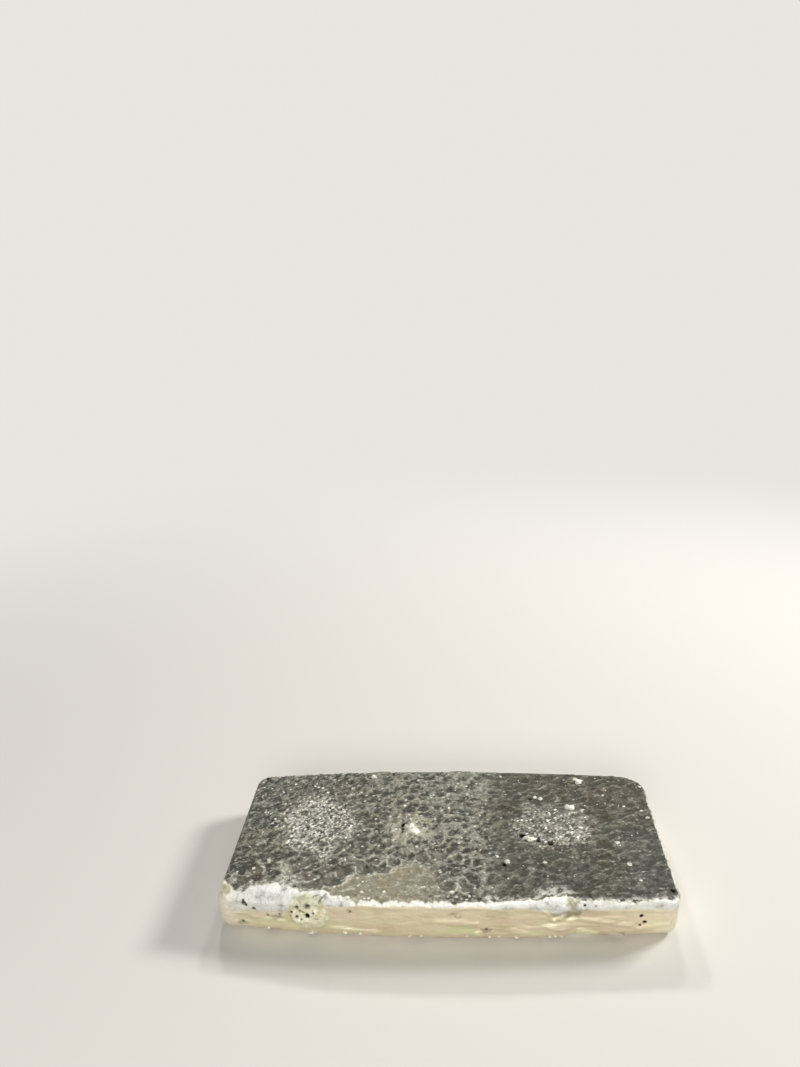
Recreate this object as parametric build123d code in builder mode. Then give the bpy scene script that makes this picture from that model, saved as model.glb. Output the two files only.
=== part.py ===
from build123d import *
from math import atan, degrees, sqrt
import os

# Dore bar as it left its open mould: one cast slab lying on its moulded floor.
# Origin at the middle of the floor, +X along the bar, -Y its front, +Z up. Millimetres.

# Plan of the mouth, the widest level of the casting. The long sides bow outwards:
# each end of a side falls back from the reach of its bow.
bar_length = 204.0
front_reach = 48.0
front_left_fall = 5.8
front_right_fall = 4.9
front_bow_place = -12.0
back_reach = 47.6
back_left_fall = 4.0
back_right_fall = 2.6
back_bow_place = 0.0
front_left_corner = 7.0
front_right_corner = 7.0
back_left_corner = 7.0
back_right_corner = 13.0

# Elevation: the walls lean out to the mouth, and the poured face swells above its ends
rim_height = 20.6
crown_rise = 1.3
crown_place = -7.0
wall_draft = 1.2
floor_round = 5.4
rim_round = 2.2

# Front-left corner, which swelled out between floor and rim: how far proud of the end
# and the front it stands, how far it runs back along each, and its own rounds
swell_end_proud = 2.4
swell_front_proud = 0.8
swell_end_run = 36.0
swell_front_run = 26.0
swell_sunk = 0.8
swell_floor = 0.6
swell_under_rim = 0.6
swell_corner = 8.0
swell_round = 6.5
swell_floor_round = 5.0

# Front-left shoulder, worn broad where the metal washed over the rim. Its round bites into
# the wall at the left end and stands clear of the rim at its stop.
shoulder_round = 7.0
shoulder_bite = 0.4
shoulder_clear = 1.0
shoulder_stop = -50.0

# Places on the bar are shares of its half length from the middle, and places across the
# poured face are shares of its front or back reach.

# Porous lump that froze on the front wall and rim, balls of metal run together:
# place, radius, how far proud of the wall and how far under the poured face
lump_balls = [(-0.628, 9.2, 1.1, 0.7), (-0.559, 9.8, 1.4, 0.6)]

# Flow notch in the front rim: place, width and depth
notch_place = 0.53
notch_width = 9.0
notch_depth = 1.0

# Cold laps, where the front floor edge froze short of the mould: place, width and depth
floor_laps = [(0.588, 15.0, 1.3), (0.72, 7.5, 1.9)]

# Craters in the poured face: place along, place across, width and depth
craters = [
    (-0.7, -0.59, 6.5, 0.8),
    (-0.65, -0.48, 7.0, 0.9),
    (-0.51, -0.71, 9.0, 1.2),
    (-0.465, -0.6, 8.0, 1.3),
    (-0.37, -0.56, 6.0, 1.1),
    (-0.3, -0.52, 6.4, 1.2),
    (-0.235, -0.46, 5.5, 1.0),
    (-0.11, -0.4, 6.0, 0.9),
    (-0.015, -0.35, 6.0, 1.0),
    (0.05, -0.4, 5.0, 0.8),
    (0.01, -0.77, 7.5, 0.7),
    (0.093, -0.79, 6.0, 0.6),
]

# Blow-holes in the poured face: place along, place across and width
face_holes = [
    (-0.196, 0.06, 3.4),
    (0.36, -0.09, 3.0),
    (0.48, -0.15, 2.4),
    (0.26, -0.48, 2.0),
]

# Blow-holes in the front wall: place along, level under the rim and width
wall_holes = [
    (-0.88, 4.4, 2.2),
    (-0.64, 3.6, 1.8),
    (-0.594, 2.8, 2.8),
    (-0.628, 5.2, 1.5),
    (-0.642, 7.8, 1.4),
    (-0.597, 7.8, 1.5),
    (0.825, 7.1, 1.6),
    (0.84, 10.9, 1.5),
]

half_length = bar_length / 2
crown_height = rim_height + crown_rise

# Turns that lay a ball or a bore along or across the bar, or a ball's poles askew, so that
# the poles stay off the faces it leaves
laid_along = (0, 90, 0)
laid_across = (90, 0, 0)
laid_askew = (0, 75, 20)


# Radius of the arc that falls this far from its middle over this run
def arc_radius(run, fall):
    return (run**2 + fall**2) / (2 * fall)


# How far an arc has fallen from its middle at a distance along it
def arc_fall(distance, radius):
    return radius - sqrt(radius**2 - distance**2)


crown_radius = arc_radius(half_length, crown_rise)


# Height of the swelling poured face at one place along the bar
def face_height(x):
    return crown_height - arc_fall(x - crown_place, crown_radius)


# Place of the front wall's face at one place along the bar and one level
def front_wall(x, level):
    if x < front_bow_place:
        radius = arc_radius(half_length + front_bow_place, front_left_fall)
    else:
        radius = arc_radius(half_length - front_bow_place, front_right_fall)
    drawn_in = wall_draft * (1 - level / crown_height)
    return arc_fall(x - front_bow_place, radius) + drawn_in - front_reach


# Place on the poured face from its shares along and across the bar
def face_place(along, across):
    reach = front_reach if across < 0 else back_reach
    return along * half_length, across * reach


# Ball outside the rounded front edge that dips it by this depth,
# above the edge where side is 1 and below it where side is -1
def dip_edge(x, level, edge_round, width, depth, side):
    radius = arc_radius(width / 2, depth)
    away = (radius - depth) / sqrt(2) - edge_round * (1 - 1 / sqrt(2))
    with Locations((x, front_wall(x, level) - away, level + side * away)):
        Sphere(radius, rotation=laid_along, mode=Mode.SUBTRACT)


front_left = (-half_length, front_left_fall - front_reach)
front_right = (half_length, front_right_fall - front_reach)
back_left = (-half_length, back_reach - back_left_fall)
back_right = (half_length, back_reach - back_right_fall)

# Swelling of the front-left corner, a pillow sunk into the slab on its two inner sides
with BuildPart() as corner_swell:
    swell_tip = (front_left[0] - swell_end_proud, front_left[1] - swell_front_proud)
    swell_back = (front_left[0] + swell_sunk, swell_tip[1] + swell_end_run)
    swell_front_x = swell_tip[0] + swell_front_run
    swell_front = (swell_front_x, front_wall(swell_front_x, 0) + swell_sunk)
    with BuildSketch(Plane.XY.offset(swell_floor)) as swell_plan:
        with BuildLine():
            Polyline(swell_tip, swell_front, (swell_front_x, swell_back[1]), swell_back, close=True)
        make_face()
        fillet(swell_plan.vertices().sort_by_distance(swell_tip)[0], swell_corner)
    extrude(amount=rim_height - swell_under_rim - swell_floor)
    fillet(corner_swell.faces().sort_by(Axis.Z)[-1].edges(), swell_round)
    fillet(corner_swell.faces().sort_by(Axis.Z)[0].edges(), swell_floor_round)

with BuildPart() as dore_bar:
    # Slab drawn down from its mouth, drafted on every wall
    with BuildSketch(Plane.XY.offset(crown_height)) as mouth:
        with BuildLine():
            TangentArc((front_bow_place, -front_reach), front_left, tangent=(-1, 0))
            TangentArc((front_bow_place, -front_reach), front_right, tangent=(1, 0))
            TangentArc((back_bow_place, back_reach), back_left, tangent=(-1, 0))
            TangentArc((back_bow_place, back_reach), back_right, tangent=(1, 0))
            Line(front_left, back_left)
            Line(front_right, back_right)
        make_face()
        mouth_corners = [
            (front_left, front_left_corner),
            (front_right, front_right_corner),
            (back_left, back_left_corner),
            (back_right, back_right_corner),
        ]
        for corner, radius in mouth_corners:
            fillet(mouth.vertices().sort_by_distance(corner)[0], radius)
    extrude(amount=-crown_height)
    walls = dore_bar.faces().filter_by(Axis.Z, reverse=True)
    draft(walls, Plane.XY.offset(crown_height), -degrees(atan(wall_draft / crown_height)))

    # Poured face, an arch along the bar
    with BuildSketch(Plane.XZ):
        with Locations((crown_place, crown_height - crown_radius)):
            Circle(crown_radius)
    extrude(amount=bar_length, both=True, mode=Mode.INTERSECT)
    fillet(dore_bar.edges().group_by(Axis.Z)[0], floor_round)
    fillet(dore_bar.faces().sort_by(Axis.Z)[-1].edges(), rim_round)

    # Washed-down shoulder: what lies outside a round laid along the front rim
    stop_y = front_wall(shoulder_stop, rim_height)
    stop_level = face_height(shoulder_stop)
    shoulder_start = Vector(shoulder_stop, stop_y - shoulder_clear, stop_level + shoulder_clear)
    shoulder_finish = Vector(-half_length, front_wall(-half_length, rim_height), rim_height)
    shoulder_run = shoulder_finish - shoulder_start
    with BuildSketch(Plane(origin=shoulder_start, x_dir=(0, 1, 0), z_dir=shoulder_run)):
        middle = shoulder_round - shoulder_bite
        with Locations((middle, middle)):
            Rectangle(2 * shoulder_round, 2 * shoulder_round, align=(Align.MAX, Align.MAX))
            Circle(shoulder_round, mode=Mode.SUBTRACT)
    extrude(amount=2 * shoulder_run.length, mode=Mode.SUBTRACT)
    add(corner_swell.part)

    # Porous lump
    for along, radius, proud, under in lump_balls:
        x = along * half_length
        level = face_height(x) - under - radius
        with Locations((x, front_wall(x, level) + radius - proud, level)):
            Sphere(radius, rotation=laid_along)

    # Flow notch in the rim and cold laps in the floor edge
    notch_x = notch_place * half_length
    dip_edge(notch_x, face_height(notch_x), rim_round, notch_width, notch_depth, 1)
    for along, width, depth in floor_laps:
        dip_edge(along * half_length, 0, floor_round, width, depth, -1)

    for along, across, width, depth in craters:
        x, y = face_place(along, across)
        radius = arc_radius(width / 2, depth)
        with Locations((x, y, face_height(x) + radius - depth)):
            Sphere(radius, rotation=laid_askew, mode=Mode.SUBTRACT)

    # A blow-hole is as deep as it is wide, and its cutter stands as far outside
    for along, across, width in face_holes:
        x, y = face_place(along, across)
        with Locations((x, y, face_height(x))):
            Cylinder(width / 2, 2 * width, mode=Mode.SUBTRACT)
    for along, under, width in wall_holes:
        x = along * half_length
        level = rim_height - under
        with Locations((x, front_wall(x, level), level)):
            Cylinder(width / 2, 2 * width, rotation=laid_across, mode=Mode.SUBTRACT)

# The swelling reaches past the mouth's left end, so the casting is centred as a whole
extent = dore_bar.part.bounding_box()
bar = Pos(-extent.center().X, -extent.center().Y, 0) * dore_bar.part
bar.label = "dore_bar"

os.makedirs("parts", exist_ok=True)
export_step(bar, "parts/dore_bar.step")
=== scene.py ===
import bpy
import math
import random
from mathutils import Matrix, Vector, noise


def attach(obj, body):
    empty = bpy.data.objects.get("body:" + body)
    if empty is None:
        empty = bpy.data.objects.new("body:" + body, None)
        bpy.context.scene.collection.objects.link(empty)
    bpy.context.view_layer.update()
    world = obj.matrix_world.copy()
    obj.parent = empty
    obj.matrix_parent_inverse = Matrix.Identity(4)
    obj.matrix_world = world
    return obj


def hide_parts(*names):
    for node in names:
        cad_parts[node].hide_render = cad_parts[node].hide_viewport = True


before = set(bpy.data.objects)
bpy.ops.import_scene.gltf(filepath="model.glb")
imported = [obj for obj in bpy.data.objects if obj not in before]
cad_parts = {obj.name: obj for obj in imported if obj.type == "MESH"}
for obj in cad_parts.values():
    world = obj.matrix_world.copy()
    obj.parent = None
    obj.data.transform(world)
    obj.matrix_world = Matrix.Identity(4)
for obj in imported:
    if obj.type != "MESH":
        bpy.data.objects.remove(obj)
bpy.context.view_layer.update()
scene = bpy.context.scene
scene.view_settings.view_transform = "Standard"

mm = 0.001


def clearSelection():
    for thing in bpy.context.selected_objects:
        thing.select_set(False)


def pick(thing):
    clearSelection()
    thing.select_set(True)
    bpy.context.view_layer.objects.active = thing


# Soft step from 0 to 1 between two values
def ease(value, low, high):
    share = min(max((value - low) / (high - low), 0.0), 1.0)
    return share * share * (3 - 2 * share)


# Bell that is 1 where the value is 0 and fades within its width to both sides
def bell(value, width):
    return math.exp(-(value / width) ** 2)


# Smooth noise between about -1 and 1, with bumps of this size
def ripple(x, y, sizeX, sizeY, seed):
    return noise.noise(Vector((x / sizeX, y / sizeY, seed)))


# Height of a drawn line at one place, its points given as (place, height)
def lineAt(points, place):
    if place <= points[0][0]:
        return points[0][1]
    for (x0, y0), (x1, y1) in zip(points, points[1:]):
        if place <= x1:
            return y0 + (y1 - y0) * (place - x0) / (x1 - x0)
    return points[-1][1]


# Round spot, 1 in its middle and faded out a little beyond its reach
def spot(x, y, placeX, placeY, reachX, reachY):
    away = math.hypot((x - placeX) / reachX, (y - placeY) / reachY)
    return 1 - ease(away, 0.55, 1.15)


# The strongest of several spots at one place. The share of each is above or below 0.
def strongest(x, y, spots):
    found = 0.0
    for placeX, placeY, reachX, reachY, share in spots:
        if abs(x - placeX) < 1.2 * reachX:
            amount = share * spot(x, y, placeX, placeY, reachX, reachY)
            found = amount if abs(amount) > abs(found) else found
    return found


# How near a place is to a short line, 1 on it and 0 beyond its half width
def onLine(x, y, start, finish, width):
    runX, runY = finish[0] - start[0], finish[1] - start[1]
    share = ((x - start[0]) * runX + (y - start[1]) * runY) / (runX**2 + runY**2)
    share = min(max(share, 0.0), 1.0)
    away = math.hypot(x - start[0] - share * runX, y - start[1] - share * runY)
    return 1 - ease(away, 0.4 * width, 1.3 * width)


# Camera, as the photo looks at the bar

camera = {
    "place": (0.0114, -0.3268, 0.290),
    "turn": (70.57, 2.52, 3.72),
    "lens": 27.67,
    "sensor": 36,
    "nearest": 0.01,
}


def makeCamera():
    turn = [math.radians(angle) for angle in camera["turn"]]
    bpy.ops.object.camera_add(location=camera["place"], rotation=turn)
    made = bpy.context.object
    made.name = "photo_camera"
    made.data.lens = camera["lens"]
    made.data.sensor_width = camera["sensor"]
    made.data.clip_start = camera["nearest"]
    scene.camera = made


# Node helpers

def newPaint(name):
    paint = bpy.data.materials.new(name)
    paint.use_nodes = True
    return paint, paint.node_tree, paint.node_tree.nodes["Principled BSDF"]


def addNode(tree, kind, **values):
    node = tree.nodes.new(kind)
    for name, value in values.items():
        setattr(node, name, value)
    return node


# A socket is linked, a colour or a number is set
def joinUp(tree, source, socket):
    if isinstance(source, bpy.types.NodeSocket):
        tree.links.new(source, socket)
    elif isinstance(source, tuple):
        socket.default_value = (*source, 1)
    else:
        socket.default_value = source


def readMark(tree, name):
    return addNode(tree, "ShaderNodeAttribute", attribute_name=name).outputs["Fac"]


def mixTones(tree, share, low, high):
    node = addNode(tree, "ShaderNodeMix", data_type="RGBA")
    joinUp(tree, share, node.inputs["Factor"])
    joinUp(tree, low, node.inputs[6])
    joinUp(tree, high, node.inputs[7])
    return node.outputs[2]


def mixValues(tree, share, low, high):
    node = addNode(tree, "ShaderNodeMix", data_type="FLOAT")
    joinUp(tree, share, node.inputs["Factor"])
    joinUp(tree, low, node.inputs[2])
    joinUp(tree, high, node.inputs[3])
    return node.outputs[0]


def combine(tree, operation, first, second):
    node = addNode(tree, "ShaderNodeMath", operation=operation)
    joinUp(tree, first, node.inputs[0])
    joinUp(tree, second, node.inputs[1])
    return node.outputs[0]


def times(tree, first, second):
    return combine(tree, "MULTIPLY", first, second)


def remap(tree, value, low, high, newLow=0.0, newHigh=1.0):
    node = addNode(tree, "ShaderNodeMapRange")
    node.inputs["From Min"].default_value = low
    node.inputs["From Max"].default_value = high
    node.inputs["To Min"].default_value = newLow
    node.inputs["To Max"].default_value = newHigh
    tree.links.new(value, node.inputs["Value"])
    return node.outputs["Result"]


def ramp(tree, share, stops):
    node = addNode(tree, "ShaderNodeValToRGB")
    band = node.color_ramp
    while len(band.elements) < len(stops):
        band.elements.new(0.5)
    for element, (place, tone) in zip(band.elements, stops):
        element.position = place
        element.color = (*tone, 1)
    tree.links.new(share, node.inputs["Fac"])
    return node.outputs["Color"]


# Object coordinates turned about the upright and then scaled
def stretched(tree, place, scale, turn=0.0):
    node = addNode(tree, "ShaderNodeMapping", vector_type="TEXTURE")
    node.inputs["Rotation"].default_value = (0, 0, math.radians(turn))
    node.inputs["Scale"].default_value = [1 / share for share in scale]
    tree.links.new(place, node.inputs["Vector"])
    return node.outputs["Vector"]


def grain(tree, place, scale, detail=4.0, rough=0.55):
    node = addNode(tree, "ShaderNodeTexNoise")
    node.inputs["Scale"].default_value = scale
    node.inputs["Detail"].default_value = detail
    node.inputs["Roughness"].default_value = rough
    tree.links.new(place, node.inputs["Vector"])
    return node.outputs["Fac"]


# Fine specks of uneven brightness, fewer the higher the last value is
def specks(tree, place, scale, rare):
    node = addNode(tree, "ShaderNodeTexVoronoi")
    node.inputs["Scale"].default_value = scale
    tree.links.new(place, node.inputs["Vector"])
    parts = addNode(tree, "ShaderNodeSeparateColor")
    tree.links.new(node.outputs["Color"], parts.inputs["Color"])
    near = remap(tree, node.outputs["Distance"], 0.52, 0.22)
    return times(tree, near, remap(tree, parts.outputs["Red"], rare, 1.0))


def addBump(tree, height, distance, strength, under=None):
    node = addNode(tree, "ShaderNodeBump")
    node.inputs["Distance"].default_value = distance
    joinUp(tree, strength, node.inputs["Strength"])
    tree.links.new(height, node.inputs["Height"])
    if under:
        tree.links.new(under, node.inputs["Normal"])
    return node.outputs["Normal"]


# Light and floor

studio = {
    "floorSize": 8.0,
    "floorTone": (0.66, 0.645, 0.615),
    "farTone": (0.81, 0.788, 0.75),
    # distances from the bar between which the floor turns into the backdrop
    "fade": (0.24, 0.8),
    "worldTone": (1.0, 0.985, 0.96),
    "worldLevel": 0.22,
    "lamps": [
        # name, place, aim, width, depth, watts, tone
        ("front_softbox", (-0.12, -1.0, 0.46), (0, 0, 0), 0.90, 0.30, 8.0, (1.0, 0.98, 0.95)),
        ("right_softbox", (1.15, 0.55, 0.80), (0, 0, 0), 0.38, 0.30, 21.0, (1.0, 0.99, 0.96)),
        ("back_left_box", (-0.364, 1.323, 1.094), (-0.064, 0, 0), 0.17, 0.14, 7.0, (1.0, 0.99, 0.96)),
        ("back_right_box", (0.221, 1.323, 1.094), (0.053, 0, 0), 0.17, 0.11, 5.5, (1.0, 0.99, 0.96)),
    ],
}


# How far a ray counts as looking at the background
def seenShare(tree):
    path = addNode(tree, "ShaderNodeLightPath")
    mirrored = combine(tree, "MAXIMUM", path.outputs["Is Glossy Ray"], path.outputs["Is Transmission Ray"])
    return combine(tree, "MAXIMUM", path.outputs["Is Camera Ray"], mirrored)


def makeFloor():
    clearSelection()
    bpy.ops.mesh.primitive_circle_add(vertices=96, radius=studio["floorSize"] / 2, fill_type="NGON")
    floor = bpy.context.object
    floor.name = "floor"
    bpy.ops.object.mode_set(mode="EDIT")
    bpy.ops.mesh.select_all(action="SELECT")
    bpy.ops.mesh.inset(thickness=studio["floorSize"] / 5)
    bpy.ops.object.mode_set(mode="OBJECT")
    floor.data.materials.append(floorPaint())


def floorPaint():
    paint, tree, shader = newPaint("floor_paint")
    shader.inputs["Base Color"].default_value = (*studio["floorTone"], 1)
    shader.inputs["Roughness"].default_value = 0.9
    shader.inputs["Specular IOR Level"].default_value = 0.0
    far = addNode(tree, "ShaderNodeEmission")
    far.inputs["Color"].default_value = (*studio["farTone"], 1)
    away = addNode(tree, "ShaderNodeVectorMath", operation="LENGTH")
    tree.links.new(addNode(tree, "ShaderNodeTexCoord").outputs["Object"], away.inputs[0])
    fade = addNode(tree, "ShaderNodeMapRange", interpolation_type="SMOOTHSTEP")
    fade.inputs["From Min"].default_value = studio["fade"][0]
    fade.inputs["From Max"].default_value = studio["fade"][1]
    tree.links.new(away.outputs["Value"], fade.inputs["Value"])
    both = addNode(tree, "ShaderNodeMixShader")
    tree.links.new(times(tree, fade.outputs["Result"], seenShare(tree)), both.inputs["Fac"])
    tree.links.new(shader.outputs["BSDF"], both.inputs[1])
    tree.links.new(far.outputs["Emission"], both.inputs[2])
    tree.links.new(both.outputs["Shader"], tree.nodes["Material Output"].inputs["Surface"])
    return paint


def makeLight():
    world = bpy.data.worlds.new("studio")
    scene.world = world
    world.use_nodes = True
    tree = world.node_tree
    sky = tree.nodes["Background"]
    sky.inputs["Color"].default_value = (*studio["worldTone"], 1)
    sky.inputs["Strength"].default_value = studio["worldLevel"]
    seen = addNode(tree, "ShaderNodeBackground")
    seen.inputs["Color"].default_value = (*studio["farTone"], 1)
    both = addNode(tree, "ShaderNodeMixShader")
    tree.links.new(seenShare(tree), both.inputs["Fac"])
    tree.links.new(sky.outputs["Background"], both.inputs[1])
    tree.links.new(seen.outputs["Background"], both.inputs[2])
    tree.links.new(both.outputs["Shader"], tree.nodes["World Output"].inputs["Surface"])
    for name, place, aim, width, depth, watts, tone in studio["lamps"]:
        bpy.ops.object.light_add(type="AREA", location=place)
        lamp = bpy.context.object
        lamp.name = name
        lamp.rotation_euler = (Vector(aim) - Vector(place)).to_track_quat("-Z", "Y").to_euler()
        lamp.data.shape = "RECTANGLE"
        lamp.data.size = width
        lamp.data.size_y = depth
        lamp.data.energy = watts
        lamp.data.color = tone


# The bar itself. Sizes and places are in millimetres, x along it, y across it and z up.
# A spot on the poured face is given as x, y, reach along x, reach along y, and one on the
# front wall as x, level, reach along x, reach up. What follows these four is said at each list.

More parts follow.
